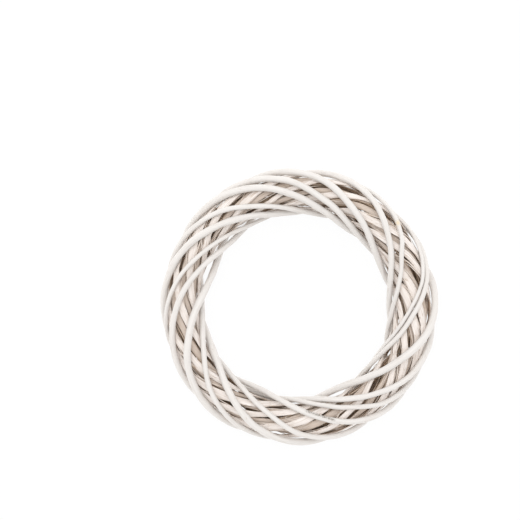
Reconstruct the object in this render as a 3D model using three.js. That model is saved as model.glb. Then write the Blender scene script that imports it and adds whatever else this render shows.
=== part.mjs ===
// Wicker wreath: round willow rods wound one way over a tube of split strips
// that are wound the other way, over a core of slowly winding rods. Millimetres,
// +Z up, lying flat on the table with its back down.
import * as THREE from "three";

// Ring and tube
const RING_RADIUS = 104.0; // from the wreath's middle to the middle of the tube
const RING_SWELL = -2.4; // change of that radius on the +X side
const TUBE_SWELL = 1.4; // how much wider the tube is on the +X side
const ROD_BED_RADIUS = 16.2; // from the tube's middle to the underside of the rods
const OUTER_STRIP_RADIUS = 14.7; // to the middle of the outer strips
const INNER_STRIP_RADIUS = 11.9; // to the middle of the inner strips
const CORE_BED_RADIUS = 5.0; // to the underside of the core's rods
const CORE_SQUASH = 0.72; // the core's height against its width
const CORE_DROP = 2.5; // how far the core lies towards the back

// Rods, the outer round ones and the core's
const ROD_SIDES = 8;
const CORE_ROD_SIDES = 6;
const ROD_FULLNESS = 1.04; // corner radius of the section against the rod's own
const ROD_TIP_SHARE = 0.6; // thickness left at a rod's thin end
const ROD_TIP_ARC = 24; // degrees of ring over which it thins
const ROD_LAP_ARC = 22; // degrees of ring over which two rod ends lie side by side
const ROD_LAP_ASIDE = 3.15; // how far each of them is moved aside
const CORE_LAP_ARC = 12;
const CORE_LAP_ASIDE = 2.4;
const ROD_END_SLANT = 1.2; // how steeply an end is cut
const BOW_REACH = 85; // degrees round the tube from a bow's top to its foot

// Split strips
const STRIP_SIDES = 5;
const STRIP_THICKNESS = 2.0;
const STRIP_BACK_SHARE = 0.76; // width of a strip's flat back against its own
const STRIP_EDGE_LEVEL = -0.1; // height of its edges, in thicknesses from the middle
const STRIP_TIP_SHARE = 0.45; // width left at a strip's end
const STRIP_TIP_ARC = 22; // degrees of ring over which it narrows
const STRIP_LAP_ARC = 16; // degrees of ring over which two strip ends lie side by side
const STRIP_LAP_ASIDE = 2.6; // how far each of them is moved aside
const STRIP_END_SLANT = 0.4;

// Routes
const ROUTE_STEP = 6.7; // degrees of ring between two sections
const CORE_ROUTE_STEP = 10; // the same for the slowly winding core
const RISE_ARC = 5; // degrees of ring, each way, over which a strip keeps its rise
const LAP_EASE = 1.2; // laps' lengths over which a piece moves back into line
const HALVINGS = 40; // how finely a route's ends are searched for

const TABLE_FLAT = 0.8; // how deep the lowest rods are pressed flat
const DEG = Math.PI / 180;
const HALF_TURN = 180;
const FULL_TURN = 360;

const ROD_COLOUR = 0xf3f0eb;
const STRIP_COLOUR = 0xece1d4;
const CORE_COLOUR = 0xc9b49c;

// Circles on the front of the wreath that the routes are told by
const INNER_CIRCLE = 92.2;
const MIDDLE_CIRCLE = 102.8;
const OUTER_CIRCLE = 113.6;

// The nineteen passes of the rods over the front, in order round the ring: the
// ring angles where a rod meets the three circles, and its thickness. A bow is
// how far the rod stands off on the inside of the ring, just before the pass.
const ROD_PASSES = [
  { at: [-15.3, -2.1, 9.3], size: 4.0 },
  { at: [-9.1, 3.6, 14.8], size: 3.2 },
  { at: [15.6, 28.3, 38.9], size: 3.8 },
  { at: [28.2, 41.5, 53.2], size: 5.0, bow: 0.6 },
  { at: [51.5, 66.1, 78.3], size: 5.7 },
  { at: [69.4, 83.2, 96.2], size: 5.4 },
  { at: [82.4, 96.8, 110.2], size: 5.9 },
  { at: [103.0, 119.5, 132.6], size: 4.2 },
  { at: [117.7, 134.2, 149.0], size: 5.7 },
  { at: [135.3, 154.4, 168.2], size: 3.7, bow: 1.5 },
  { at: [151.2, 167.7, 184.0], size: 4.8, bow: 2.5 },
  { at: [176.2, 193.2, 207.0], size: 6.1, bow: 3.2 },
  { at: [197.2, 213.7, 227.4], size: 4.5 },
  { at: [218.0, 233.8, 247.6], size: 5.8 },
  { at: [239.0, 256.6, 269.1], size: 4.5 },
  { at: [267.0, 282.8, 294.7], size: 4.8, bow: 3.3 },
  { at: [284.2, 299.2, 310.2], size: 4.0, bow: 1.3 },
  { at: [295.8, 310.8, 324.0], size: 4.8, bow: 0.5 },
  { at: [320.6, 334.3, 345.2], size: 6.1, bow: 1.2 },
];

// The same for the strips and the core, told by the middle circle and by the
// rise there: degrees round the tube for one degree round the ring.
const OUTER_STRIP_PASSES = [
  { at: [6], rise: 2.3, size: 6.5 },
  { at: [30.5], rise: 2.6, size: 5.5 },
  { at: [48], rise: 2.3, size: 6.7 },
  { at: [75.5], rise: 2.8, size: 5.3 },
  { at: [100], rise: 2.7, size: 4.4 },
  { at: [124], rise: 3.2, size: 5.3 },
  { at: [144.5], rise: 3.0, size: 5.8 },
  { at: [165], rise: 2.9, size: 6.6 },
  { at: [188], rise: 3.3, size: 6.2 },
  { at: [215], rise: 2.9, size: 5.8 },
  { at: [234], rise: 3.1, size: 7.0 },
  { at: [251], rise: 2.5, size: 5.6 },
  { at: [270.5], rise: 2.7, size: 6.2 },
  { at: [298], rise: 2.3, size: 5.4 },
  { at: [323], rise: 2.7, size: 5.4 },
  { at: [337], rise: 3.0, size: 6.6 },
  { at: [354], rise: 2.3, size: 6.4 },
];
const INNER_STRIP_PASSES = [
  { at: [16], rise: 2.6, size: 4.7 },
  { at: [40], rise: 2.3, size: 5.3 },
  { at: [61], rise: 2.7, size: 4.8 },
  { at: [85], rise: 2.4, size: 4.8 },
  { at: [115], rise: 2.8, size: 5.8 },
  { at: [133], rise: 3.2, size: 4.5 },
  { at: [153], rise: 2.7, size: 4.8 },
  { at: [177], rise: 3.3, size: 5.0 },
  { at: [201], rise: 2.7, size: 5.8 },
  { at: [221.5], rise: 3.2, size: 4.1 },
  { at: [240], rise: 2.4, size: 4.1 },
  { at: [263], rise: 2.8, size: 5.4 },
  { at: [285], rise: 2.3, size: 5.8 },
  { at: [313], rise: 2.7, size: 4.4 },
  { at: [330], rise: 2.4, size: 3.9 },
  { at: [348], rise: 2.7, size: 4.4 },
];
const CORE_ROD_PASSES = [
  { at: [22], rise: 1.25, size: 4.2 },
  { at: [95], rise: 1.25, size: 3.9 },
  { at: [168], rise: 1.25, size: 4.3 },
  { at: [240], rise: 1.25, size: 3.9 },
  { at: [310], rise: 1.25, size: 4.2 },
];

// Four windings. A piece that leaves the front at one pass comes back to it
// "stride" passes further on. "turns" says how often each piece goes round the
// tube and "joins" where on the tube its first end lies, -90 being the back.
const ROUND_RODS = {
  name: "round_rod",
  passes: ROD_PASSES,
  circles: [INNER_CIRCLE, MIDDLE_CIRCLE, OUTER_CIRCLE],
  sense: -1,
  stride: 8,
  turns: [2, 3, 3, 3, 3, 2, 3],
  joins: [-90, -132, -90, -90, -90, -46, -90],
  thickEnds: ["last", "last", "last", "last", "first", "last", "last"],
  bed: ROD_BED_RADIUS,
  lapArc: ROD_LAP_ARC,
  lapAside: ROD_LAP_ASIDE,
  squash: 1,
  drop: 0,
};
const OUTER_STRIPS = {
  name: "outer_split_strip",
  passes: OUTER_STRIP_PASSES,
  circles: [MIDDLE_CIRCLE],
  sense: 1,
  stride: 7,
  turns: [3, 3, 3, 3, 3, 2],
  joins: [-90, -90, -90, -90, -90, -90],
  bed: OUTER_STRIP_RADIUS,
  lapArc: STRIP_LAP_ARC,
  lapAside: STRIP_LAP_ASIDE,
  squash: 1,
  drop: 0,
};
const INNER_STRIPS = {
  name: "inner_split_strip",
  passes: INNER_STRIP_PASSES,
  circles: [MIDDLE_CIRCLE],
  sense: 1,
  stride: 7,
  turns: [3, 3, 3, 3, 2, 2],
  joins: [-90, -90, -90, -90, -90, -90],
  bed: INNER_STRIP_RADIUS,
  lapArc: STRIP_LAP_ARC,
  lapAside: STRIP_LAP_ASIDE,
  squash: 1,
  drop: 0,
};
const CORE_RODS = {
  name: "core_rod",
  passes: CORE_ROD_PASSES,
  circles: [MIDDLE_CIRCLE],
  sense: 1,
  stride: 4,
  turns: [2, 2, 1],
  joins: [-75, -90, -90],
  thickEnds: ["last", "last", "last"],
  bed: CORE_BED_RADIUS,
  lapArc: CORE_LAP_ARC,
  lapAside: CORE_LAP_ASIDE,
  squash: CORE_SQUASH,
  drop: CORE_DROP,
};

function tubeCentre(phi) {
  return RING_RADIUS + RING_SWELL * Math.cos(phi * DEG);
}

function tubeSwell(phi) {
  return TUBE_SWELL * Math.cos(phi * DEG);
}

// The point of a winding at an angle round the ring, an angle round the tube and
// a distance from the tube's middle. The tube's angle is 0 outside, 90 in front.
function tubePoint(winding, phi, theta, distance) {
  const r = tubeCentre(phi) + (distance + tubeSwell(phi)) * Math.cos(theta * DEG);
  const z = distance * winding.squash * Math.sin(theta * DEG) - winding.drop;
  return new THREE.Vector3(r * Math.cos(phi * DEG), r * Math.sin(phi * DEG), z);
}

// The winding's outward direction at the same place
function tubeNormal(winding, phi, theta, distance) {
  const flat = Math.cos(theta * DEG) / (distance + tubeSwell(phi));
  const height = Math.sin(theta * DEG) / (distance * winding.squash);
  return new THREE.Vector3(
    flat * Math.cos(phi * DEG),
    flat * Math.sin(phi * DEG),
    height,
  ).normalize();
}

function smoothStep(from, to, value) {
  const t = THREE.MathUtils.clamp((value - from) / (to - from), 0, 1);
  return t * t * (3 - 2 * t);
}

// A smooth curve through marks [x, y] that all rise or all fall: it does the same
// and never swings past them.
function smoothThrough(marks) {
  const last = marks.length - 1;
  const rise = [];
  for (let i = 0; i < last; i++) {
    rise.push((marks[i + 1][1] - marks[i][1]) / (marks[i + 1][0] - marks[i][0]));
  }
  const slope = marks.map((mark, i) => {
    if (i === 0) return rise[0];
    if (i === last) return rise[last - 1];
    return (2 * rise[i - 1] * rise[i]) / (rise[i - 1] + rise[i]);
  });
  return (x) => {
    let i = 0;
    while (i < last - 1 && x > marks[i + 1][0]) i++;
    const [x0, y0] = marks[i];
    const [x1, y1] = marks[i + 1];
    const width = x1 - x0;
    const t = (x - x0) / width;
    const rest = 1 - t;
    return (
      rest * rest * (1 + 2 * t) * y0 +
      t * t * (3 - 2 * t) * y1 +
      t * rest * rest * width * slope[i] -
      t * t * rest * width * slope[i + 1]
    );
  };
}

// Straight lines through marks [x, y], level outside them
function straightThrough(marks) {
  return (x) => {
    const i = marks.findIndex((mark) => mark[0] > x);
    if (i === 0) return marks[0][1];
    if (i < 0) return marks[marks.length - 1][1];
    const [x0, y0] = marks[i - 1];
    const [x1, y1] = marks[i];
    return THREE.MathUtils.mapLinear(x, x0, x1, y0, y1);
  };
}

// The ring angle, between two others, where a winding reaches a tube angle
function ringAngleWhere(turnAt, low, high, theta, sense) {
  for (let i = 0; i < HALVINGS; i++) {
    const middle = (low + high) / 2;
    if ((theta - turnAt(middle)) * sense > 0) low = middle;
    else high = middle;
  }
  return (low + high) / 2;
}

// How far a rod bows off its bed at a tube angle
function bowHeight(bows, theta) {
  return bows.reduce((sum, bow) => {
    const away = Math.min(Math.abs(theta - bow.theta) / BOW_REACH, 1);
    return sum + bow.height * (0.5 + 0.5 * Math.cos(Math.PI * away));
  }, 0);
}

// One piece of a winding: its tube angle, size and bow along the ring, and the
// ring angles of its two ends. The route is followed one pass past each end.
function pieceOf(winding, index) {
  const { passes, circles, sense, stride, turns, joins } = winding;
  const turnsBefore = turns.slice(0, index).reduce((sum, n) => sum + n, 0);
  const turnMarks = [];
  const sizeMarks = [];
  const bows = [];
  let reached = -FULL_TURN;
  for (let turn = -1; turn <= turns[index]; turn++) {
    const pass = passes.at(((turnsBefore + turn) * stride) % passes.length);
    const turned = sense * FULL_TURN * turn;
    let lift = 0;
    while (pass.at[0] + lift < reached) lift += FULL_TURN;
    pass.at.forEach((phi, i) => {
      const distance = winding.bed + (winding.thickEnds ? pass.size / 2 : 0);
      const reach = (circles[i] - tubeCentre(phi)) / (distance + tubeSwell(phi));
      const theta = Math.acos(reach) / DEG + turned;
      const arcs = pass.rise ? [-RISE_ARC, RISE_ARC] : [0];
      arcs.forEach((arc) => {
        turnMarks.push([phi + lift + arc, theta + arc * (pass.rise ?? 0)]);
      });
    });
    reached = pass.at.at(-1) + lift;
    sizeMarks.push([(pass.at[0] + lift + reached) / 2, pass.size]);
    bows.push({ theta: turned - sense * HALF_TURN, height: pass.bow ?? 0 });
  }
  const turnAt = smoothThrough(turnMarks);
  const joinBefore = (i) => joins[i % joins.length] + (sense > 0 ? 0 : FULL_TURN);
  const ends = [joinBefore(index), joinBefore(index + 1) + sense * FULL_TURN * turns[index]];
  const [start, end] = ends.map((theta) =>
    ringAngleWhere(turnAt, turnMarks[0][0], turnMarks.at(-1)[0], theta, sense),
  );
  return {
    turnAt,
    sizeAt: straightThrough(sizeMarks.slice(1, -1)),
    bowAt: (phi) => bowHeight(bows, turnAt(phi)),
    start,
    end,
  };
}

// How far a piece is moved aside at a ring angle: full over the lap with the
// piece before it or after it, and nothing away from both.
function lapAside(piece, winding, phi) {
  const half = winding.lapArc / 2;
  const eased = half + winding.lapArc * LAP_EASE;
  const atStart = 1 - smoothStep(piece.start + half, piece.start + eased, phi);
  const atEnd = smoothStep(piece.end - eased, piece.end - half, phi);
  return winding.lapAside * (atStart - atEnd);
}

// Bends a closed cylinder along a route. For a share of the length, the route
// gives the ring and tube angles, the distance from the tube's middle and a
// section; the section turns an angle into [across, outward].
function bendAlong(winding, route, steps, sides, turn, slant) {
  const middleAt = (share) => {
    const here = route(share);
    return tubePoint(winding, here.phi, here.theta, here.distance);
  };
  const nudge = 1e-3;
  const solid = new THREE.CylinderGeometry(1, 1, 1, sides, steps, false, turn);
  const place = solid.attributes.position;
  for (let i = 0; i < place.count; i++) {
    const share = place.getY(i) + 0.5;
    const radial = Math.hypot(place.getX(i), place.getZ(i));
    const here = route(share);
    const [across, outward] = here.section(Math.atan2(place.getX(i), place.getZ(i)));
    const forward = middleAt(share + nudge).sub(middleAt(share - nudge)).normalize();
    const normal = tubeNormal(winding, here.phi, here.theta, here.distance);
    const side = new THREE.Vector3().crossVectors(forward, normal).normalize();
    const up = new THREE.Vector3().crossVectors(side, forward);
    let cutBack = 0;
    if (share < nudge) cutBack = slant * outward;
    if (share > 1 - nudge) cutBack = -slant * outward;
    const point = middleAt(share)
      .addScaledVector(side, across * radial)
      .addScaledVector(up, outward * radial)
      .addScaledVector(forward, cutBack * radial);
    place.setXYZ(i, point.x, point.y, point.z);
  }
  return solid;
}

function roundRod(winding, index, sides, step) {
  const piece = pieceOf(winding, index);
  const from = piece.start - winding.lapArc / 2;
  const to = piece.end + winding.lapArc / 2;
  const thickLast = winding.thickEnds[index] === "last";
  const thicknessAt = (phi) => {
    const fromTip = thickLast ? phi - from : to - phi;
    const share = THREE.MathUtils.lerp(ROD_TIP_SHARE, 1, smoothStep(0, ROD_TIP_ARC, fromTip));
    return piece.sizeAt(phi) * share;
  };
  const route = (share) => {
    const phi = THREE.MathUtils.lerp(from, to, share);
    const radius = thicknessAt(phi) / 2;
    const distance = winding.bed + radius * ROD_FULLNESS + piece.bowAt(phi);
    const aside = lapAside(piece, winding, phi);
    return {
      phi,
      theta: piece.turnAt(phi) + aside / distance / DEG,
      distance,
      section: (angle) => [
        radius * ROD_FULLNESS * Math.sin(angle),
        radius * ROD_FULLNESS * Math.cos(angle),
      ],
    };
  };
  const steps = Math.round((to - from) / step);
  return bendAlong(winding, route, steps, sides, Math.PI / sides, ROD_END_SLANT);
}

// The five corners of a split strip: a crown, two low edges and a flat back
function stripCorners(width) {
  const top = STRIP_THICKNESS / 2;
  const edge = STRIP_THICKNESS * STRIP_EDGE_LEVEL;
  const back = (width / 2) * STRIP_BACK_SHARE;
  return [
    [0, top],
    [width / 2, edge],
    [back, -top],
    [-back, -top],
    [-width / 2, edge],
  ];
}

function splitStrip(winding, index) {
  const distance = winding.bed;
  const piece = pieceOf(winding, index);
  const from = piece.start - winding.lapArc / 2;
  const to = piece.end + winding.lapArc / 2;
  const widthAt = (phi) => {
    const fromEnd = Math.min(phi - from, to - phi);
    const share = THREE.MathUtils.lerp(STRIP_TIP_SHARE, 1, smoothStep(0, STRIP_TIP_ARC, fromEnd));
    return piece.sizeAt(phi) * share;
  };
  const route = (share) => {
    const phi = THREE.MathUtils.lerp(from, to, share);
    const aside = lapAside(piece, winding, phi);
    const corners = stripCorners(widthAt(phi));
    const cornerOf = (angle) => {
      const turned = (angle / DEG + FULL_TURN) % FULL_TURN;
      return Math.round((turned * corners.length) / FULL_TURN) % corners.length;
    };
    return {
      phi,
      theta: piece.turnAt(phi) + aside / distance / DEG,
      distance,
      section: (angle) => corners[cornerOf(angle)],
    };
  };
  const steps = Math.round((to - from) / ROUTE_STEP);
  return bendAlong(winding, route, steps, STRIP_SIDES, 0, STRIP_END_SLANT);
}

function barkMaterial(colour, roughness) {
  return new THREE.MeshStandardMaterial({ color: colour, roughness, metalness: 0 });
}

function addPieces(group, winding, material, shape) {
  winding.turns.forEach((turns, index) => {
    const mesh = new THREE.Mesh(shape(index), material);
    mesh.name = `${winding.name}_${index + 1}`;
    group.add(mesh);
  });
}

// Presses the lowest rods flat on the table, at height 0, and puts the middle of
// the wreath's footprint on the origin.
function settle(group) {
  const box = new THREE.Box3().setFromObject(group);
  const floor = box.min.z + TABLE_FLAT;
  const centre = box.getCenter(new THREE.Vector3());
  for (const mesh of group.children) {
    const place = mesh.geometry.attributes.position;
    for (let i = 0; i < place.count; i++) {
      const height = Math.max(place.getZ(i) - floor, 0);
      place.setXYZ(i, place.getX(i) - centre.x, place.getY(i) - centre.y, height);
    }
  }
}

const whiteRod = barkMaterial(ROD_COLOUR, 0.7);
const paleStrip = barkMaterial(STRIP_COLOUR, 0.8);
const bareRod = barkMaterial(CORE_COLOUR, 0.85);

const group = new THREE.Group();
addPieces(group, ROUND_RODS, whiteRod, (index) =>
  roundRod(ROUND_RODS, index, ROD_SIDES, ROUTE_STEP),
);
addPieces(group, OUTER_STRIPS, paleStrip, (index) => splitStrip(OUTER_STRIPS, index));
addPieces(group, INNER_STRIPS, paleStrip, (index) => splitStrip(INNER_STRIPS, index));
addPieces(group, CORE_RODS, bareRod, (index) =>
  roundRod(CORE_RODS, index, CORE_ROD_SIDES, CORE_ROUTE_STEP),
);
settle(group);

export default group;
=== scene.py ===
# %% [markdown]
# # A wicker wreath of whitewashed willow
# The wreath is wound from loose willow: pale split strips go one way round the
# tube of the ring, and thick round rods go the other way over them. This lesson
# takes the imported solids as a fixed frame and gives every rod and strip its real
# skin: a round or split section, bud scars, splinters, an oblique cut at each
# end, and limewash that is thick on the rods and thin on the strips below them.
# The lower strips and the splinters are also darkened in colour, as painted shade
# from the layer above them.

import math

import bpy
import numpy as np
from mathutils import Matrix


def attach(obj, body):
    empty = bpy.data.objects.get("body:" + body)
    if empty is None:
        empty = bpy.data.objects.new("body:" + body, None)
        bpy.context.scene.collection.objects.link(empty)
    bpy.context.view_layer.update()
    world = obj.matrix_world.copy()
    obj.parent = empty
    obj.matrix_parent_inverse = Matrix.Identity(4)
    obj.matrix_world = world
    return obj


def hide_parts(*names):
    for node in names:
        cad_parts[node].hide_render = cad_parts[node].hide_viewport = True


MM = 0.001
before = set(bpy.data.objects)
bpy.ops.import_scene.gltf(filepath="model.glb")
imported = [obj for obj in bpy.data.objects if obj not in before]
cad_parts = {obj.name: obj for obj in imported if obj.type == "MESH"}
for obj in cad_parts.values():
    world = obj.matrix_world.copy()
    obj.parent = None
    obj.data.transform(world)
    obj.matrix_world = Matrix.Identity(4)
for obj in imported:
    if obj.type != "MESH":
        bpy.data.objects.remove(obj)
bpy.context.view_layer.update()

# %% [markdown]
# ## The camera
# The wreath lies on its back, so the camera that saw it upright from in front
# looks straight down. It stands 1.3 m away, and a little up and to the left of
# the ring, because the ring sits low and right in the picture. A camera that
# was turned instead would make the round ring an ellipse.

# %% Camera
CAMERA_PLACE = (-0.0358, 0.0425, 1.304)
CAMERA_LENS = 97.7
CAMERA_SENSOR = 36.0

camera_data = bpy.data.cameras.new("camera")
camera_data.lens = CAMERA_LENS
camera_data.sensor_width = CAMERA_SENSOR
camera = bpy.data.objects.new("camera", camera_data)
camera.location = CAMERA_PLACE
bpy.context.scene.collection.objects.link(camera)
bpy.context.scene.camera = camera
print("field of view:", round(math.degrees(camera_data.angle), 1), "degrees")

# %% [markdown]
# ## Reading a rod back from its solid
# Each solid is a row of sections, like beads on a string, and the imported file
# keeps only its loose triangles. The sections can be found again by walking:
# the two corners whose neighbours are all close by are the middles of the two
# ends, and each step away from one of them reaches exactly one more section.
# Reading the line from the frame, and not repeating its numbers here, keeps the
# skins on their solids whatever changes there.


# %% Sections of a solid
def sections_of(node):
    """The corners of each section, end to end, as an array (section, corner, 3).

    Merged corners are joined by the triangles' edges. Section k holds the corners
    that are k edges away from the middle of the first end.
    """
    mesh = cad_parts[node].data
    points = np.empty(len(mesh.vertices) * 3, np.float32)
    mesh.vertices.foreach_get("co", points)
    mesh.calc_loop_triangles()
    triangles = np.empty(len(mesh.loop_triangles) * 3, np.int32)
    mesh.loop_triangles.foreach_get("vertices", triangles)
    micron = np.round(points.reshape(-1, 3) * 1e6).astype(np.int64)
    merged, place = np.unique(micron, axis=0, return_inverse=True)
    merged = merged * 1e-6
    corner = place.reshape(-1)[triangles.reshape(-1, 3)]
    edges = np.vstack([corner[:, [0, 1]], corner[:, [1, 2]], corner[:, [2, 0]]])
    edges = np.unique(np.vstack([edges, edges[:, ::-1]]), axis=0)
    length = np.linalg.norm(merged[edges[:, 0]] - merged[edges[:, 1]], axis=1)
    farthest = np.zeros(len(merged))
    np.maximum.at(farthest, edges[:, 0], length)
    section = np.array([np.argmin(farthest)])
    seen = np.zeros(len(merged), bool)
    seen[section] = True
    found = []
    while True:
        near = np.unique(edges[np.isin(edges[:, 0], section), 1])
        section = near[~seen[near]]
        if len(section) < 2:
            return np.array(found)
        seen[section] = True
        found.append(merged[section])


SOLIDS = {node: sections_of(node) for node in sorted(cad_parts)}
for family in ("round_rod", "outer_split_strip", "inner_split_strip", "core_rod"):
    counts = [len(SOLIDS[node]) for node in SOLIDS if node.startswith(family)]
    print(family, "sections:", counts)

# %% [markdown]
# ## The middle of the tube
# Which side of a rod faces out depends on where the middle of the tube is. The
# rods wind evenly round it, so their mean distance from the ring's middle is the
# tube's middle. A wreath is never a true circle, so that distance may change
# round the ring: a constant, a cosine and a sine are fitted to it.


# %% Tube
def ring_terms(points):
    """1, cos and sin of the angle round the ring, for each point."""
    angle = np.arctan2(points[..., 1], points[..., 0])
    return np.stack([np.ones_like(angle), np.cos(angle), np.sin(angle)], axis=-1)


rod_middles = np.concatenate(
    [SOLIDS[node].mean(axis=1) for node in SOLIDS if node.startswith("round_rod")]
)
ring_fit = np.linalg.lstsq(
    ring_terms(rod_middles), np.hypot(rod_middles[:, 0], rod_middles[:, 1]), rcond=None
)[0]
tube_height = (rod_middles[:, 2].min() + rod_middles[:, 2].max()) / 2


def outward_at(points):
    """Unit directions from the tube's middle line to the points.

    The middle at each ring angle is the fitted radius times (cos, sin), at the
    tube's height.
    """
    terms = ring_terms(points)
    radius = terms @ ring_fit
    height = np.full_like(radius, tube_height)
    middle = np.stack([radius * terms[..., 1], radius * terms[..., 2], height], axis=-1)
    return unit(points - middle)


def unit(vectors):
    """Vectors scaled to length 1."""
    return vectors / np.linalg.norm(vectors, axis=-1, keepdims=True)


print("tube: middle at", np.round(ring_fit / MM, 1), "mm, height", round(tube_height / MM, 1))

# %% [markdown]
# ## Lines that bend like willow
# A solid has a section every 13 mm or so. A rod bends smoothly, so its middle
# line is a curve through the sections' middles. The cubic used here leaves each
# point in the direction of its two neighbours, which is how a springy rod lies.
# It is then cut into equal steps, so that bark and grain keep one scale.


# %% Smooth line
LINE_PARTS = 12


def smooth_between(values, at):
    """Cubic through rows of values at whole numbers, taken at the places `at`.

    Between rows 1 and 2: the Hermite blend of both, with the slopes half the
    difference of the neighbours on either side.
    """
    slopes = np.gradient(values, axis=0)
    row = np.clip(np.floor(at).astype(int), 0, len(values) - 2)
    t = (at - row)[:, None]
    rest = 1 - t
    return (
        rest**2 * (1 + 2 * t) * values[row]
        + t**2 * (3 - 2 * t) * values[row + 1]
        + t * rest**2 * slopes[row]
        - t**2 * rest * slopes[row + 1]
    )


def equal_steps(middles, step):
    """Places between the sections, at equal distances along the line, and its length.

    The line is measured as LINE_PARTS straight bits for each section.
    """
    fine = np.linspace(0, len(middles) - 1, len(middles) * LINE_PARTS)
    line = smooth_between(middles, fine)
    travelled = np.concatenate([[0], np.cumsum(np.linalg.norm(np.diff(line, axis=0), axis=1))])
    count = int(travelled[-1] / step)
    return np.interp(np.linspace(0, travelled[-1], count), travelled, fine), travelled[-1]


def line_of(node, step):
    """A solid in even steps: middles, forward, side, up, lengths and section sizes.

    Side is forward x outward, and up is side x forward, away from the tube. The
    sizes of a section are the mean distance of its corners from its middle, and
    their largest distance to the side.
    """
    corners = SOLIDS[node]
    middles = corners.mean(axis=1)
    places, length = equal_steps(middles, step)
    centre = smooth_between(middles, places)
    forward = unit(np.gradient(centre, axis=0))
    coarse_forward = unit(np.gradient(middles, axis=0))[:, None]
    coarse_side = unit(np.cross(coarse_forward[:, 0], outward_at(middles)))[:, None]
    spoke = corners - middles[:, None]
    spoke = spoke - (spoke * coarse_forward).sum(-1, keepdims=True) * coarse_forward
    reach = np.linalg.norm(spoke, axis=-1).mean(axis=1, keepdims=True)
    half_width = np.abs((spoke * coarse_side).sum(-1)).max(axis=1, keepdims=True)
    sizes = smooth_between(np.hstack([reach, half_width]), places)
    side = unit(np.cross(forward, outward_at(centre)))
    up = np.cross(side, forward)
    along = np.linspace(0, length, len(places))
    return centre, forward, side, up, along, sizes


for node in ("round_rod_1", "outer_split_strip_1", "core_rod_1"):
    lengths = line_of(node, 5 * MM)[4]
    print(node, "is", round(lengths[-1] / MM), "mm long")

# %% [markdown]
# ## Nothing grown is even
# Willow thickens and thins, wanders a little and is never quite round. Noise
# could give that, but a few slow waves of unequal length, with random starts, are
# smooth at any step. Each piece has its own seed, so the wreath comes out the
# same every time it is made.


# %% Waves
WAVE_PARTS = 5
WAVE_SPREAD = (0.5, 2.0)
WAVE_STRENGTH = 0.7


def waves(along, random, wavelength):
    """Sum of a few sines of 0.5 to 2 times the wavelength, with random starts.

    It is divided by the root of half their number, so that it swings by about
    one, however many there are.
    """
    lengths = wavelength * random.uniform(*WAVE_SPREAD, WAVE_PARTS)
    starts = random.uniform(0, 2 * math.pi, WAVE_PARTS)
    turns = 2 * math.pi * along[..., None] / lengths + starts
    return np.sin(turns).sum(axis=-1) / math.sqrt(WAVE_PARTS / 2) * WAVE_STRENGTH


sample = waves(np.linspace(0, 1, 1000), np.random.default_rng(0), 40 * MM)
print("waves swing from", round(sample.min(), 2), "to", round(sample.max(), 2))

# %% [markdown]
# ## From a grid of points to a mesh
# Every rod and strip is one grid: rows along the piece and columns round it. The
# first and the last row shrink to a single point, so the ends are closed. The
# faces are the same for any grid, so one function makes them all, and another
# joins grids that belong to one piece. It also stores what the materials read,
# such as the straightened place of each point and how far it faces out.


# %% Faces of a grid
def closed_faces(rows, columns):
    """Corners of the faces of a grid whose end rows are one point each.

    Point 0 is the first row, the last point the last row. A face between them
    joins columns j and j+1 of rows i and i+1.
    """
    ring = 1 + np.arange((rows - 2) * columns).reshape(rows - 2, columns)
    beside = np.roll(ring, -1, axis=1)
    first = np.stack([np.zeros(columns, int), beside[0], ring[0]], axis=-1)
    last = np.stack([np.full(columns, ring.size + 1), ring[-1], beside[-1]], axis=-1)
    quads = np.stack([ring[:-1], beside[:-1], beside[1:], ring[1:]], axis=-1)
    return first, quads.reshape(-1, 4), last


print("a grid of 5 rows and 6 columns has", sum(map(len, closed_faces(5, 6))), "faces")


# %% One piece from its grids
def mesh_piece(name, shells):
    """An object from closed shells, each a grid (row, column, 3) and its stores.

    Stores are numbers (row, column) or vectors (row, column, 3) for the materials.
    """
    points, faces, values = [], [], {key: [] for key in shells[0][1]}
    for grid, stores in shells:
        rows, columns = grid.shape[:2]
        kept = np.r_[0, columns : (rows - 1) * columns, rows * columns - 1]
        start = sum(len(part) for part in points)
        for part in closed_faces(rows, columns):
            faces += (part + start).tolist()
        points.append(grid.reshape(-1, 3)[kept])
        for key, value in stores.items():
            values[key].append(value.reshape(rows * columns, -1)[kept])
    mesh = bpy.data.meshes.new(name)
    mesh.from_pydata(np.concatenate(points).tolist(), [], faces)
    for key, parts in values.items():
        joined = np.concatenate(parts).astype(np.float32)
        is_vector = joined.shape[1] == 3
        store = mesh.attributes.new(key, "FLOAT_VECTOR" if is_vector else "FLOAT", "POINT")
        store.data.foreach_set("vector" if is_vector else "value", joined.ravel())
    mesh.polygons.foreach_set("use_smooth", np.ones(len(faces), bool))
    mesh.update()
    piece = bpy.data.objects.new(name, mesh)
    bpy.context.scene.collection.objects.link(piece)
    return piece


# %% [markdown]
# ## Round rods
# A rod is a young willow shoot, peeled and limewashed. Its section is nearly a
# circle. Buds sat on it every 40 to 60 mm, each two fifths of a turn on from the
# last, and left low scars where the rod is also a hair thicker. The rod could be
# a curve with a round bevel, but a grid lets the scars and the oblique cut at
# each end be part of the one surface. First the scars: bells along the rod and
# round it.

# %% Bud scars
SCAR_SPACING = 48 * MM
SCAR_TURN = math.radians(144)
SCAR_LENGTH = 1.5 * MM
SCAR_SPREAD = 0.42
SCAR_PLACES = (0.2, 0.8)
SCAR_TURN_PLAY = 0.25
SCAR_STRENGTHS = (0.35, 1.0)
SWELLING_LENGTH = 5 * MM


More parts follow.
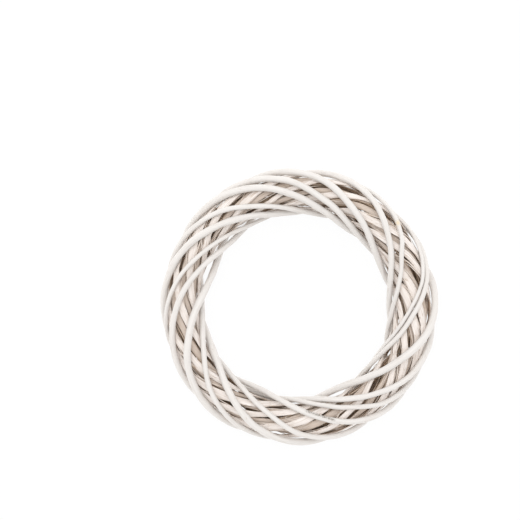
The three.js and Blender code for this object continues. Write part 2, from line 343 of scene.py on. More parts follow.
def bud_scars(along, angle, random):
    """Bump height and swelling of a rod's bud scars at lengths and angles.

    Each scar is a bell in length and in angle; the swelling is a bell in length.
    """
    count = max(int(along[-1] / SCAR_SPACING), 1)
    places = (np.arange(count) + random.uniform(*SCAR_PLACES, count)) * SCAR_SPACING
    turned = random.uniform(0, 2 * math.pi) + SCAR_TURN * np.arange(count)
    turned += random.normal(0, SCAR_TURN_PLAY, count)
    strength = random.uniform(*SCAR_STRENGTHS, count)
    behind = along[:, None] - places
    lengthwise = np.exp(-((behind / SCAR_LENGTH) ** 2)) * strength
    apart = np.angle(np.exp(1j * (angle[:, None] - turned)))
    around = np.exp(-((apart / SCAR_SPREAD) ** 2))
    bump = np.einsum("ik,jk->ij", lengthwise, around)
    swelling = (np.exp(-((behind / SWELLING_LENGTH) ** 2)) * strength).sum(axis=1)
    return bump, swelling[:, None]


print("bud scars every", round(SCAR_SPACING / MM), "mm, a turn of", round(math.degrees(SCAR_TURN)))

# %% [markdown]
# ## Two marks on the front
# One rod was bent too sharply and shows a yellowish bruise under the wash. Another
# kept a broken line of dark bark. Both are found by their place over the table,
# so they need no picture: a bell round a point, and a bell round a line.

# %% Bruise and bark
BRUISE_PLACE = np.array([88.1, 75.9]) * MM
BRUISE_REACH = 2.0 * MM
BARK_START = np.array([6.0, -92.9]) * MM
BARK_END = np.array([30.1, -100.5]) * MM
BARK_REACH = 0.9 * MM


def front_marks(grid):
    """How much of the bruise and of the bark line is at each point of a rod.

    Each is exp(-(distance / reach) squared), seen from above, in front of the tube.
    """
    over = grid[..., :2]
    front = grid[..., 2] > tube_height
    bruise = np.exp(-((np.linalg.norm(over - BRUISE_PLACE, axis=-1) / BRUISE_REACH) ** 2))
    line = BARK_END - BARK_START
    share = np.clip((over - BARK_START) @ line / (line @ line), 0, 1)
    nearest = BARK_START + share[..., None] * line
    bark = np.exp(-((np.linalg.norm(over - nearest, axis=-1) / BARK_REACH) ** 2))
    return bruise * front, bark * front


print("bark line:", round(np.linalg.norm(BARK_END - BARK_START) / MM, 1), "mm long")

# %% [markdown]
# ## Cut ends
# A weaver cuts each length aslant with a knife, so its end is a long oval of
# fresh wood. Closing the end with one flat face would leave no room for a soft
# rim, so the end row is drawn in to its middle in a few rings, and the rows near
# it are pushed forward on one side.

# %% Ends of a piece
CAP_RINGS = np.array([0.96, 0.7, 0.4, 0.15, 0.0])
CUT_SLANT = 1.2
CUT_REACH = 7 * MM


def with_caps(rows):
    """Row numbers and radial shares of a grid with both cut faces added."""
    caps = len(CAP_RINGS)
    row = np.concatenate([np.zeros(caps, int), np.arange(rows), np.full(caps, rows - 1)])
    share = np.concatenate([CAP_RINGS[::-1], np.ones(rows), CAP_RINGS])
    cut = (share < 1).astype(float)
    return row, share[:, None], cut[:, None]


def cut_back(along):
    """1 at the start, -1 at the end and 0 away from both, easing over the reach."""
    start = np.clip(1 - along / CUT_REACH, 0, 1) ** 2
    end = np.clip(1 - (along[-1] - along) / CUT_REACH, 0, 1) ** 2
    return (start - end)[:, None]


print("a cut face is drawn in through", len(CAP_RINGS), "rings")

# %% [markdown]
# ## The rod's surface
# Everything so far meets here: the smooth line, the radius with its waves, oval
# and swellings, the scars on top and the slant at the ends. A solid has few
# corners, and their mean distance falls a little short of the rod's radius. Where
# a rod lies on the table it is pressed flat, so no point goes below zero. Each
# seed also moves the straightened place by metres, so that no two pieces show
# the same grain.

# %% Rod surface
ROD_STEP = 1.4 * MM
ROD_COLUMNS = 20
ROD_CORNER_REACH = 0.98
ROD_WANDER = 0.22 * MM
ROD_WANDER_WAVE = 45 * MM
ROD_THICKNESS_PLAY = 0.03
ROD_THICKNESS_WAVE = 22 * MM
ROD_OVAL = 0.035
ROD_OVAL_TURN = 2.0
ROD_OVAL_WAVE = 160 * MM
SCAR_HEIGHT = 0.32 * MM
SWELLING = 0.035


def rod_piece(name, node, seed, play=1.0):
    """Skin of a round rod.

    Point (s, a) = middle(s) + r (side sin a + up cos a), where
    r = radius (1 + waves + oval cos 2(a - slow turn) + swelling) + bud scars,
    drawn along the rod by slant r cos a near an end, and never below the table.
    """
    random = np.random.default_rng(seed)
    centre, forward, side, up, along, sizes = line_of(node, ROD_STEP)
    angle = np.linspace(0, 2 * math.pi, ROD_COLUMNS, endpoint=False)
    radius = sizes[:, :1] / ROD_CORNER_REACH
    bump, swelling = bud_scars(along, angle, random)
    slow_turn = ROD_OVAL_TURN * waves(along, random, ROD_OVAL_WAVE)[:, None]
    uneven = ROD_THICKNESS_PLAY * waves(along, random, ROD_THICKNESS_WAVE)[:, None]
    oval = ROD_OVAL * np.cos(2 * (angle - slow_turn))
    radius = radius * (1 + play * (uneven + oval + SWELLING * swelling))
    radius = radius + play * SCAR_HEIGHT * bump
    wander = play * ROD_WANDER * waves(along, random, ROD_WANDER_WAVE)[:, None]
    centre = centre + side * wander
    row, share, cut = with_caps(len(along))
    radial = radius[row] * share
    across = radial * np.sin(angle)
    outward = radial * np.cos(angle)
    drawn = CUT_SLANT * cut_back(along)[row] * outward
    grid = (
        centre[row][:, None]
        + across[..., None] * side[row][:, None]
        + outward[..., None] * up[row][:, None]
        + drawn[..., None] * forward[row][:, None]
    )
    grid[..., 2] = np.maximum(grid[..., 2], 0)
    bruise, bark = front_marks(grid)
    length = along[row][:, None] + drawn + seed
    stores = {
        "straightened": np.stack([across, outward, length], axis=-1),
        "faces_out": np.cos(angle) * np.ones_like(share),
        "cut_end": cut * np.ones(ROD_COLUMNS),
        "bud_scar": bump[row] * share,
        "bruise": bruise,
        "bark": bark,
    }
    return mesh_piece(name, [(grid, stores)])


print("rod grid: a row every", round(ROD_STEP / MM, 1), "mm,", ROD_COLUMNS, "corners round")

# %% [markdown]
# ## Split strips
# A strip is a shoot split lengthwise and shaved: flat behind, a little crowned in
# front, with thin edges that follow the fibres and so are never straight. Its
# fibres leave fine ridges that run its whole length. A plain ribbon with a bump
# texture would look pressed, so the profile is a flattened round whose back is
# cut flat. It wanders and rolls a little as it is carried along the line, the
# ridges drift slowly, and it is broader on the outside of the ring, where strips
# spread. Its thin edges are rubbed like a rod's scars, so they use the same store.

# %% Strip surface
STRIP_STEP = 1.5 * MM
STRIP_COLUMNS = 22
STRIP_HALF_THICKNESS = 0.95 * MM
STRIP_THICKNESS_PLAY = 0.08
STRIP_THICKNESS_WAVE = 30 * MM
STRIP_WIDTH_POWER = 0.8
STRIP_CROWN_POWER = 1.3
STRIP_BACK_LEVEL = -0.8
STRIP_EDGE_PLAY = 0.13
STRIP_EDGE_WAVES = (34 * MM, 42 * MM)
STRIP_FULLNESS = 0.97
STRIP_WANDER = 1.0 * MM
STRIP_WANDER_WAVE = 75 * MM
STRIP_ROLL = 0.2
STRIP_ROLL_WAVE = 60 * MM
RIDGE_HEIGHT = 0.075 * MM
RIDGE_WAVE = 70 * MM
EDGE_WEAR_POWER = 6


def strip_shell(node, seed, thin_wash_and_shade, widening, random):
    """Closed grid of a split strip, and its line, lengths and half widths.

    The profile at angle a is across = width |sin a|^0.8, outward = thickness
    |cos a|^1.3, each with its sign, and no lower than the flat back. Width is the
    solid's times fullness + widening x (1 outside the ring, 0 inside it), with
    waves of its own on each edge. Ridges add height to the front, and the section
    rolls.
    """
    centre, _, side, up, along, sizes = line_of(node, STRIP_STEP)
    angle = np.linspace(0, 2 * math.pi, STRIP_COLUMNS, endpoint=False)
    sine, cosine = np.sin(angle), np.cos(angle)
    profile_across = np.sign(sine) * np.abs(sine) ** STRIP_WIDTH_POWER
    profile_out = np.sign(cosine) * np.abs(cosine) ** STRIP_CROWN_POWER
    profile_out = np.maximum(profile_out, STRIP_BACK_LEVEL)
    right, left = (waves(along, random, length)[:, None] for length in STRIP_EDGE_WAVES)
    edge_play = STRIP_EDGE_PLAY * np.where(profile_across > 0, right, left)
    thickness_play = STRIP_THICKNESS_PLAY * waves(along, random, STRIP_THICKNESS_WAVE)
    ridge_starts = random.uniform(0, 6 * math.pi, STRIP_COLUMNS)
    drift = waves(along, random, RIDGE_WAVE)[:, None]
    ridges = RIDGE_HEIGHT * np.sin(ridge_starts + drift) * (profile_out > 0)
    row, share, cut = with_caps(len(along))
    spread = (outward_at(centre) * unit(centre * (1, 1, 0))).sum(axis=-1, keepdims=True)
    half_width = sizes[:, 1:] * (STRIP_FULLNESS + widening * np.maximum(spread, 0))
    flat_across = (half_width * profile_across * (1 + edge_play))[row] * share
    thickness = STRIP_HALF_THICKNESS * (1 + thickness_play[:, None])
    flat_out = (thickness * profile_out + ridges)[row] * share
    roll = STRIP_ROLL * waves(along, random, STRIP_ROLL_WAVE)[row][:, None]
    across = flat_across * np.cos(roll) - flat_out * np.sin(roll)
    outward = flat_across * np.sin(roll) + flat_out * np.cos(roll)
    wander = STRIP_WANDER * waves(along, random, STRIP_WANDER_WAVE)[:, None]
    centre = centre + side * wander
    grid = (
        centre[row][:, None]
        + across[..., None] * side[row][:, None]
        + outward[..., None] * up[row][:, None]
    )
    length = along[row][:, None] + seed + np.zeros_like(across)
    stores = {
        "straightened": np.stack([flat_across, flat_out, length], axis=-1),
        "faces_out": profile_out * np.ones_like(share),
        "cut_end": cut * np.ones(STRIP_COLUMNS),
        "bud_scar": np.abs(profile_across) ** EDGE_WEAR_POWER * np.ones_like(share),
        # How far the colour turns to wood: thinner wash, and painted shade from the layer above.
        "thin_wash_and_shade_share": np.full_like(across, thin_wash_and_shade),
    }
    return (grid, stores), (centre, side, up, along, half_width)


print("strip grid: a row every", round(STRIP_STEP / MM, 1), "mm,", STRIP_COLUMNS, "corners round")

# %% [markdown]
# ## Splinters
# Where a shoot was split by hand, fibres tear loose along the edges and reach
# across the gap to the next strip. They could be hair curves, but thin tapered
# grids stay with the strip's own mesh and take its finish. Each one follows the
# strip's line, drifts away from the edge and dips under its neighbour.

# %% Splinter surfaces
SPLINTER_SPACING = 19 * MM
SPLINTER_LENGTHS = (22 * MM, 55 * MM)
SPLINTER_REACHES = (1.5 * MM, 7.5 * MM)
SPLINTER_HALF_WIDTHS = (0.25 * MM, 1.0 * MM)
SPLINTER_HALF_THICKNESS = 0.22 * MM
SPLINTER_DIP = 0.85 * MM
SPLINTER_ROOT = 0.8
SPLINTER_CURVE = 1.4
SPLINTER_WIDENING = 10
SPLINTER_TIP_POWER = 3
# Splinters are darkened further, as painted shade where they dip under the next strip.
SPLINTER_THIN_WASH_AND_SHADE = 0.35
SPLINTER_ROWS = 14
SPLINTER_COLUMNS = 6


def splinter_shells(strip, thin_wash_and_shade, random):
    """Closed grids of the fibres that leave a strip's edges.

    At share t of its length a fibre lies reach t^1.4 outside its root in the edge
    and dip t below the strip's middle. Its section is an ellipse times (1 - t^3),
    which grows from a point over the first tenth. Roots stay one longest fibre
    away from both ends of the strip.
    """
    centre, side, up, along, half_width = strip
    longest = SPLINTER_LENGTHS[1]
    count = int((along[-1] - 2 * longest) / SPLINTER_SPACING)
    root = longest + (np.arange(count) + random.uniform(0, 1, count)) * SPLINTER_SPACING
    length = random.uniform(*SPLINTER_LENGTHS, count) * random.choice([-1, 1], count)
    reach = random.uniform(*SPLINTER_REACHES, count)
    broad = random.uniform(*SPLINTER_HALF_WIDTHS, count)
    edge = random.choice([-1, 1], count)
    angle = np.linspace(0, 2 * math.pi, SPLINTER_COLUMNS, endpoint=False)
    shares = np.linspace(0, 1, SPLINTER_ROWS)
    shells = []
    for k in range(count):
        t = (shares if length[k] > 0 else shares[::-1])[:, None]
        taper = np.minimum(t * SPLINTER_WIDENING, 1) * (1 - t**SPLINTER_TIP_POWER)
        behind = root[k] + length[k] * t[:, 0]
        at = behind / along[-1] * (len(along) - 1)
        rooted = smooth_between(half_width, at) * SPLINTER_ROOT
        offset = rooted + reach[k] * t**SPLINTER_CURVE
        across = edge[k] * offset + broad[k] * taper * np.sin(angle)
        outward = SPLINTER_HALF_THICKNESS * taper * np.cos(angle) - SPLINTER_DIP * t
        grid = (
            smooth_between(centre, at)[:, None]
            + across[..., None] * smooth_between(side, at)[:, None]
            + outward[..., None] * smooth_between(up, at)[:, None]
        )
        plain = np.zeros_like(across)
        stores = {
            "straightened": np.stack([across, outward, behind[:, None] + plain], axis=-1),
            "faces_out": np.cos(angle) + plain,
            "cut_end": plain,
            "bud_scar": plain,
            # A splinter's colour is darkened more than its strip's, as painted shade.
            "thin_wash_and_shade_share": thin_wash_and_shade + SPLINTER_THIN_WASH_AND_SHADE + plain,
        }
        shells.append((grid, stores))
    return shells


def strip_piece(name, node, seed, thin_wash_and_shade, widening):
    """One strip with its splinters, as one object."""
    random = np.random.default_rng(seed)
    shell, strip = strip_shell(node, seed, thin_wash_and_shade, widening, random)
    return mesh_piece(name, [shell, *splinter_shells(strip, thin_wash_and_shade, random)])


print("a splinter every", round(SPLINTER_SPACING / MM), "mm of each strip")

# %% [markdown]
# ## Making the pieces
# Each skin takes the place of its solid, rides on the wreath's one body and
# names the finish that the record gives it. The inner strips spread more on the
# outside of the ring and got less wash, and their colour is darkened further as
# painted shade from the outer strips above them. The core's rods are plain bare
# shoots that are hardly seen, so they play less; their dark brown also stands in
# as painted shade for the dark inside of the tube. One loop makes them all,
# because the name of a solid says which kind it is.

# %% Pieces
CORE_PLAY = 0.6
# Share of wood colour in the inner strips: thinner wash and painted shade.
INNER_THIN_WASH_AND_SHADE = 0.56
OUTER_SPREAD = 0.2
INNER_SPREAD = 0.42
pieces = {"white_rod": [], "pale_strip": [], "bare_rod": []}


def place(piece, node, slot):
    """Put a skin in the place of its solid."""
    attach(piece, "root")
    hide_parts(node)
    pieces[slot].append(piece)


for seed, node in enumerate(SOLIDS, start=1):
    if node.startswith("round_rod"):
        place(rod_piece(node.replace("round", "willow"), node, seed), node, "white_rod")
    elif node.startswith("core_rod"):
        place(rod_piece(node.replace("core", "inner"), node, seed, CORE_PLAY), node, "bare_rod")
    else:
        inner = node.startswith("inner")
        layer = (INNER_THIN_WASH_AND_SHADE, INNER_SPREAD) if inner else (0.0, OUTER_SPREAD)
        skin = strip_piece(node.replace("split", "willow"), node, seed, *layer)
        place(skin, node, "pale_strip")
for slot, made in pieces.items():
    print(slot, len(made), "pieces,", sum(len(p.data.polygons) for p in made), "faces")

# %% [markdown]
# ## Building materials from named nodes
# A material is a small graph. It could be drawn by hand in the editor, but code
# can be read and repeated. These helpers add a node and join it in one line, so
# that the recipes below say only what goes in and what comes out.


# %% Node helpers
NOISE_ROUGHNESS = 0.55


class Graph:
    """A node tree with short words for adding and joining nodes."""

    def __init__(self, tree):
        self.tree = tree

    def add(self, kind, inputs=None, **settings):
        """A new node with its settings and its inputs filled in."""
        node = self.tree.nodes.new(kind)
        for key, value in settings.items():
            setattr(node, key, value)
        for key, value in (inputs or {}).items():
            self.set(node.inputs[key], value)
        return node

    def set(self, socket, value):
        """Join another node's output to a socket, or set a constant on it."""
        if isinstance(value, bpy.types.NodeSocket):
            self.tree.links.new(value, socket)
        else:
            socket.default_value = value

    def math(self, operation, a, b=0.0, clamp=False):
        """One sum of two values, held between 0 and 1 if clamped."""
        node = self.add("ShaderNodeMath", {0: a, 1: b}, operation=operation)
        node.use_clamp = clamp
        return node.outputs[0]

    def range(self, value, low, high, to_low=0.0, to_high=1.0):
        """Value moved smoothly from low..high to to_low..to_high."""
        levels = {"Value": value, "From Min": low, "From Max": high}
        levels.update({"To Min": to_low, "To Max": to_high})
        node = self.add("ShaderNodeMapRange", levels, interpolation_type="SMOOTHSTEP")
        return node.outputs["Result"]

    def mix(self, share, a, b):
        """Colour a, changed to colour b by the share. Colours are sockets 6 and 7."""
        node = self.add("ShaderNodeMix", data_type="RGBA")
        self.set(node.inputs[0], share)
        self.set(node.inputs[6], a)
        self.set(node.inputs[7], b)
        return node.outputs[2]

    def noise(self, vector, scale, detail=3.0):
        """Noise from 0 to 1, mostly near 0.5."""
        levels = {"Vector": vector, "Scale": scale, "Detail": detail}
        levels["Roughness"] = NOISE_ROUGHNESS
        return self.add("ShaderNodeTexNoise", levels).outputs["Fac"]

    def stretch(self, vector, across, along):
        """The straightened place, scaled apart across and along the piece."""
        scaled = self.add("ShaderNodeVectorMath", {0: vector}, operation="MULTIPLY")
        scaled.inputs[1].default_value = (across, across, along)
        return scaled.outputs[0]

    def attribute(self, name, output="Fac"):
        """What a piece's mesh stores under a name, as a number or a vector."""
        return self.add("ShaderNodeAttribute", attribute_name=name).outputs[output]


def node_group(name, inputs, outputs):
    """A new shader group with typed, named sockets. Returns its graph, its input
    node and its output node."""
    tree = bpy.data.node_groups.new(name, "ShaderNodeTree")
    for socket, (kind, value) in inputs.items():
        made = tree.interface.new_socket(socket, in_out="INPUT", socket_type=kind)
        if value is not None:
            made.default_value = value
    for socket, kind in outputs.items():
        tree.interface.new_socket(socket, in_out="OUTPUT", socket_type=kind)
    graph = Graph(tree)
    return graph, graph.add("NodeGroupInput"), graph.add("NodeGroupOutput")


NUMBER, VECTOR = "NodeSocketFloat", "NodeSocketVector"
print("group sockets are of kind", NUMBER, "or", VECTOR)

# %% [markdown]
# ## Grain
# Willow's fibres run the length of the rod. A wave texture would give lines as
# even as corduroy. Noise that is squeezed across the piece and drawn out along it
# gives streaks: a fine one makes the hair lines and a coarse one the long bands
# of lighter and darker wood. The streaks come out as a number for colour and a
# height for bump.

# %% Grain group
STREAK_LEVELS = (0.35, 0.7)
BAND_LEVELS = (0.35, 0.68)
STREAK_HEIGHT = 0.5
grain, source, result = node_group(
    "willow_grain",
    {
        "Place": (VECTOR, None),
        "Fine": (NUMBER, 5200.0),
        "Coarse": (NUMBER, 900.0),
        "Stretch": (NUMBER, 0.03),
    },
    {"Streaks": NUMBER, "Bands": NUMBER, "Height": NUMBER},
)
squeezed = grain.add("ShaderNodeSeparateXYZ", {0: source.outputs["Place"]})
slowed = grain.math("MULTIPLY", squeezed.outputs[2], source.outputs["Stretch"])
fibre = grain.add("ShaderNodeCombineXYZ", {0: squeezed.outputs[0], 1: squeezed.outputs[1]})
grain.set(fibre.inputs[2], slowed)
fine = grain.noise(fibre.outputs[0], source.outputs["Fine"], 2.0)
coarse = grain.noise(fibre.outputs[0], source.outputs["Coarse"], 3.0)
streaks = grain.range(fine, *STREAK_LEVELS)
bands = grain.range(coarse, *BAND_LEVELS)
grain.set(result.inputs["Streaks"], streaks)
grain.set(result.inputs["Bands"], bands)
heights = grain.math("ADD", grain.math("MULTIPLY", streaks, STREAK_HEIGHT), bands)
grain.set(result.inputs["Height"], heights)
print("group:", grain.tree.name)

# %% [markdown]
# ## Limewash
# The wash was brushed and sprayed on from outside, so it covers what faces out
# and gives out round the side of a strip, in a ragged line. The bare brown wood
# left on the backs also serves as painted shade for the dark inside of the tube.
# It also misses thin cracks that follow the grain, and rubs off the bud scars and
# the edges. Painting that by hand would take an image for each piece. Here noise
# and the stored attributes make three masks: bare wood, the cracks in it, and
# flakes of bark.

# %% Limewash group
RAGGED_SCALE = 700.0
RAGGED_STRETCH = 0.25
RAGGED_AMOUNT = 1.1
WASH_EDGE = (0.25, -0.25)
CRACK_SCALE = 800.0
CRACK_STRETCH = 0.04
CRACK_LEVELS = (0.03, 0.006)
PATCH_SCALE = 60.0
PATCH_LEVELS = (0.48, 0.62)
SPECK_SCALE = 1100.0
SPECK_LEVELS = (0.5, 0.62)
FLAKE_SCALE = 1400.0
FLAKE_STRETCH = 0.45
FLAKE_LEVELS = (0.42, 0.5)
wash, source, result = node_group(
    "limewash_wear",
    {
        "Place": (VECTOR, None),
        "Faces out": (NUMBER, 1.0),
        "Rubbed": (NUMBER, 0.0),
        "Bark": (NUMBER, 0.0),
        "Reach": (NUMBER, -0.35),
        "Cracks": (NUMBER, 0.2),
    },
    {"Bare": NUMBER, "Crack": NUMBER, "Flake": NUMBER},
)
ragged = wash.stretch(source.outputs["Place"], 1.0, RAGGED_STRETCH)
ragged = wash.noise(ragged, RAGGED_SCALE, 4.0)
ragged = wash.math("MULTIPLY", wash.math("SUBTRACT", ragged, 0.5), RAGGED_AMOUNT)
level = wash.math("ADD", source.outputs["Faces out"], ragged)
level = wash.math("SUBTRACT", level, source.outputs["Reach"])
# Unwashed backs show bare wood: partly the willow's own colour, partly painted shade for the
# inside of the tube.
unreached = wash.range(level, *WASH_EDGE)
line = wash.stretch(source.outputs["Place"], 1.0, CRACK_STRETCH)
line = wash.noise(line, CRACK_SCALE, 1.5)
line = wash.math("ABSOLUTE", wash.math("SUBTRACT", line, 0.5))
thin_line = wash.range(line, *CRACK_LEVELS)
patch = wash.noise(source.outputs["Place"], PATCH_SCALE, 2.0)
patch = wash.range(patch, *PATCH_LEVELS)
crack = wash.math("MULTIPLY", thin_line, patch)
crack = wash.math("MULTIPLY", crack, source.outputs["Cracks"], clamp=True)
speck = wash.noise(source.outputs["Place"], SPECK_SCALE, 3.0)
speck = wash.range(speck, *SPECK_LEVELS)
rubbed = wash.math("MULTIPLY", source.outputs["Rubbed"], speck)
flake = wash.stretch(source.outputs["Place"], 1.0, FLAKE_STRETCH)
flake = wash.noise(flake, FLAKE_SCALE, 3.0)
flake = wash.math("MULTIPLY", wash.range(flake, *FLAKE_LEVELS), source.outputs["Bark"])
bare = wash.math("MAXIMUM", unreached, rubbed)
bare = wash.math("MAXIMUM", bare, crack)
wash.set(result.inputs["Bare"], bare)
wash.set(result.inputs["Crack"], crack)
wash.set(result.inputs["Flake"], flake)
print("group:", wash.tree.name)

# %% [markdown]
# ## The three finishes
# All three are the same willow: bare wood below, limewash above, and a paler cut
# face with its pith at the ends. They differ in how white the wash dried, how
# far it reached and how strongly the grain shows, so one function makes them from
# those amounts. The bruise and the bark lie between wood and wash. A plain white
# would be simpler, but then a strip would look like card.

# %% Finishes
BRUISE_COLOUR = (0.73, 0.61, 0.43, 1)
BARK_COLOUR = (0.2, 0.17, 0.14, 1)
CUT_COLOUR = (0.6, 0.5, 0.4, 1)
PITH_COLOUR = (0.42, 0.32, 0.23, 1)
PITH_SCALE = 2400.0
PITH_LEVELS = (0.4, 0.65)
BARE_ROUGHNESS = 0.85
BAND_ROUGHNESS = 0.08
SHINE = 0.35
RELIEF = 0.12 * MM
RELIEF_STRENGTH = 0.5


def willow_material(name, wash, thin_wash, dark_wood, light_wood, amounts):
    """Principled wood under limewash.

    Colour: wood by its streaks, wash thinned by bands and streaks, then bruise,
    thinner wash with painted shade on the lower layers, bare places, bark flakes
    and cut ends, each mixed in by its mask.
    Roughness: the wash's own, or bare wood's by the mask, and more on the bands.
    Height: streaks and bands times the relief, less the cracks.
    """
    material = bpy.data.materials.new(name)
    material.use_nodes = True
    graph = Graph(material.node_tree)
    shader = material.node_tree.nodes["Principled BSDF"]
    place_of = graph.attribute("straightened", "Vector")
    fibres = graph.add("ShaderNodeGroup", node_tree=bpy.data.node_groups["willow_grain"])
    graph.set(fibres.inputs["Place"], place_of)
    fibres.inputs["Fine"].default_value = amounts["fine"]
    worn = graph.add("ShaderNodeGroup", node_tree=bpy.data.node_groups["limewash_wear"])
    graph.set(worn.inputs["Place"], place_of)
    graph.set(worn.inputs["Faces out"], graph.attribute("faces_out"))
    rub = graph.math("MULTIPLY", graph.attribute("bud_scar"), amounts["rub"])
    graph.set(worn.inputs["Rubbed"], rub)
    graph.set(worn.inputs["Bark"], graph.attribute("bark"))
    worn.inputs["Reach"].default_value = amounts["reach"]
    worn.inputs["Cracks"].default_value = amounts["cracks"]

    wood = graph.mix(fibres.outputs["Streaks"], dark_wood, light_wood)
    thin = graph.math("MULTIPLY", fibres.outputs["Bands"], amounts["bands"])
    hairs = graph.math("MULTIPLY", fibres.outputs["Streaks"], amounts["streaks"])
    painted = graph.mix(graph.math("ADD", thin, hairs), wash, thin_wash)
    painted = graph.mix(graph.attribute("bruise"), painted, BRUISE_COLOUR)
    # Lower strips and splinters turn towards wood: thinner wash, and painted shade from the layers
    # above.
    painted = graph.mix(graph.attribute("thin_wash_and_shade_share"), painted, wood)
    skin = graph.mix(worn.outputs["Bare"], painted, wood)
    skin = graph.mix(worn.outputs["Flake"], skin, BARK_COLOUR)
    pith = graph.range(graph.noise(place_of, PITH_SCALE, 2.0), *PITH_LEVELS)
    cut_wood = graph.mix(pith, CUT_COLOUR, PITH_COLOUR)
    colour = graph.mix(graph.attribute("cut_end"), skin, cut_wood)
    graph.set(shader.inputs["Base Color"], colour)

    ends = (amounts["roughness"], BARE_ROUGHNESS)
    rough = graph.range(worn.outputs["Bare"], 0.0, 1.0, *ends)
    dull = graph.math("MULTIPLY", fibres.outputs["Bands"], BAND_ROUGHNESS)
    graph.set(shader.inputs["Roughness"], graph.math("ADD", rough, dull))
    shader.inputs["Specular IOR Level"].default_value = SHINE

    height = graph.math("MULTIPLY", fibres.outputs["Height"], amounts["relief"])
    height = graph.math("SUBTRACT", height, worn.outputs["Crack"])
    bump = graph.add("ShaderNodeBump", {"Height": height})
    bump.inputs["Strength"].default_value = RELIEF_STRENGTH
    bump.inputs["Distance"].default_value = RELIEF
    graph.set(shader.inputs["Normal"], bump.outputs["Normal"])
    return material


finishes = {
    "white_rod": willow_material(
        "whitewashed_rod",
        wash=(0.715, 0.687, 0.662, 1),
        thin_wash=(0.64, 0.6, 0.56, 1),
        dark_wood=(0.34, 0.26, 0.19, 1),
        light_wood=(0.52, 0.43, 0.34, 1),
        amounts={
            "reach": -1.25, "fine": 3800.0, "bands": 0.35, "streaks": 0.2,
            "cracks": 0.22, "rub": 0.9, "roughness": 0.5, "relief": 0.45,
        },
    ),
    "pale_strip": willow_material(
        "washed_split_strip",
        wash=(0.83, 0.777, 0.74, 1),
        thin_wash=(0.655, 0.58, 0.525, 1),
        dark_wood=(0.39, 0.28, 0.195, 1),
        light_wood=(0.57, 0.455, 0.355, 1),
        amounts={
            # A reach of -0.4 leaves the strips' backs bare and brown, partly as painted shade
            # inside the tube.
            "reach": -0.4, "fine": 1300.0, "bands": 0.45, "streaks": 0.55,
            "cracks": 1.0, "rub": 0.8, "roughness": 0.62, "relief": 0.8,
        },
    ),
    # The core rods' dark bare wood is partly their own colour and partly painted shade for the
    # dark inside of the tube.
    "bare_rod": willow_material(
        "bare_core_rod",
        wash=(0.53, 0.41, 0.31, 1),
        thin_wash=(0.45, 0.335, 0.24, 1),
        dark_wood=(0.33, 0.235, 0.16, 1),
        light_wood=(0.47, 0.35, 0.24, 1),
        amounts={
            "reach": 0.6, "fine": 3000.0, "bands": 0.6, "streaks": 0.6,
            "cracks": 1.0, "rub": 1.0, "roughness": 0.75, "relief": 0.8,
        },
    ),
}
for slot, made in pieces.items():
    for piece in made:
        piece.data.materials.append(finishes[slot])
print("finishes:", [m.name for m in finishes.values()])

# %% [markdown]
# ## The floor
# The wreath lies on plain white paper that is lit through from below, as on a
# light table. A floor that only reflects would turn grey between the rods. One
# that is brighter than white would eat into the outline of the wreath, because a
# half covered pixel would already be white. So the paper reflects and glows for
# the wreath, and is itself seen as a plain, faintly flecked white in which
# shadows hardly show. The light path tells which of the two a ray needs.

# %% Floor
FLOOR_SIZE = 6.0
FLOOR_DROP = 0.05 * MM
FLECK_SCALE = 30.0
PAPER_ROUGHNESS = 0.9
PAPER_SHINE = 0.1
LIGHTING_PAPER = (0.96, 0.96, 0.96, 1)
LIGHTING_GLOW = (0.4, 0.4, 0.4, 1)
SEEN_PAPER = (0.05, 0.05, 0.05, 1)
SEEN_GLOW_LOW = (0.935, 0.935, 0.935, 1)
SEEN_GLOW_HIGH = (0.955, 0.955, 0.955, 1)


def floor_mesh(size, height):
    """A square sheet of four corners at one height."""
    half = size / 2
    corners = [(-half, -half, height), (half, -half, height), (half, half, height)]
    corners.append((-half, half, height))
    mesh = bpy.data.meshes.new("floor")
    mesh.from_pydata(corners, [], [(0, 1, 2, 3)])
    return mesh


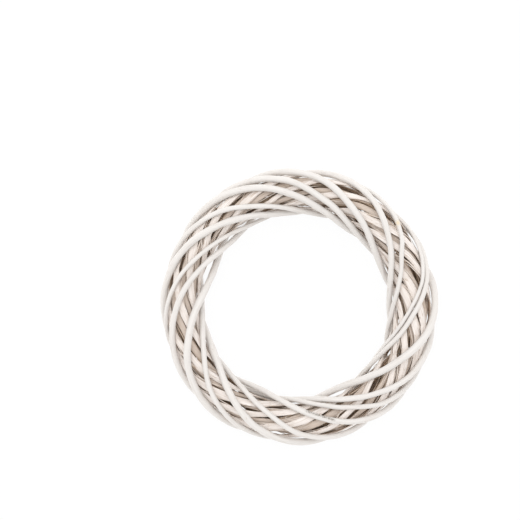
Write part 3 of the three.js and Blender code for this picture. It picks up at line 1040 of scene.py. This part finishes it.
floor = bpy.data.objects.new("floor", floor_mesh(FLOOR_SIZE, -FLOOR_DROP))
bpy.context.scene.collection.objects.link(floor)
paper = bpy.data.materials.new("pale_paper")
paper.use_nodes = True
sheet = Graph(paper.node_tree)
paper_shader = paper.node_tree.nodes["Principled BSDF"]
fleck = sheet.noise(sheet.add("ShaderNodeTexCoord").outputs["Object"], FLECK_SCALE)
seen = sheet.add("ShaderNodeLightPath").outputs["Is Camera Ray"]
paper_colour = sheet.mix(seen, LIGHTING_PAPER, SEEN_PAPER)
seen_glow = sheet.mix(fleck, SEEN_GLOW_LOW, SEEN_GLOW_HIGH)
glow_colour = sheet.mix(seen, LIGHTING_GLOW, seen_glow)
sheet.set(paper_shader.inputs["Base Color"], paper_colour)
sheet.set(paper_shader.inputs["Emission Color"], glow_colour)
paper_shader.inputs["Emission Strength"].default_value = 1.0
paper_shader.inputs["Roughness"].default_value = PAPER_ROUGHNESS
paper_shader.inputs["Specular IOR Level"].default_value = PAPER_SHINE
floor.data.materials.append(paper)
print("floor:", FLOOR_SIZE, "m wide,", round(FLOOR_DROP / MM, 2), "mm below the wreath")

# %% [markdown]
# ## The light
# A white object on a white ground needs very soft light, or its shadows turn hard
# and grey. A sun or a small lamp would draw a dark line beside each rod. One large
# panel hangs over the table, a little towards the top of the wreath, and a pale
# sky fills the rest. The plain view transform keeps the whites white.

# %% Light
KEY_PLACE = (-0.15, 0.6, 1.8)
KEY_SIZE = 2.2
KEY_POWER = 20.5
SKY_STRENGTH = 0.94


def panel(name, place, size, power):
    """A square light that faces the ring's middle."""
    data = bpy.data.lights.new(name, "AREA")
    data.size = size
    data.energy = power
    lamp = bpy.data.objects.new(name, data)
    lamp.location = place
    lamp.rotation_euler = lamp.location.to_track_quat("Z", "Y").to_euler()
    bpy.context.scene.collection.objects.link(lamp)


panel("soft_panel", KEY_PLACE, KEY_SIZE, KEY_POWER)
world = bpy.data.worlds.new("studio")
bpy.context.scene.world = world
world.use_nodes = True
sky = world.node_tree.nodes["Background"]
sky.inputs["Color"].default_value = (1.0, 1.0, 1.0, 1)
sky.inputs["Strength"].default_value = SKY_STRENGTH
bpy.context.scene.view_settings.view_transform = "Standard"
print("light: panel", KEY_POWER, "W, sky", SKY_STRENGTH)
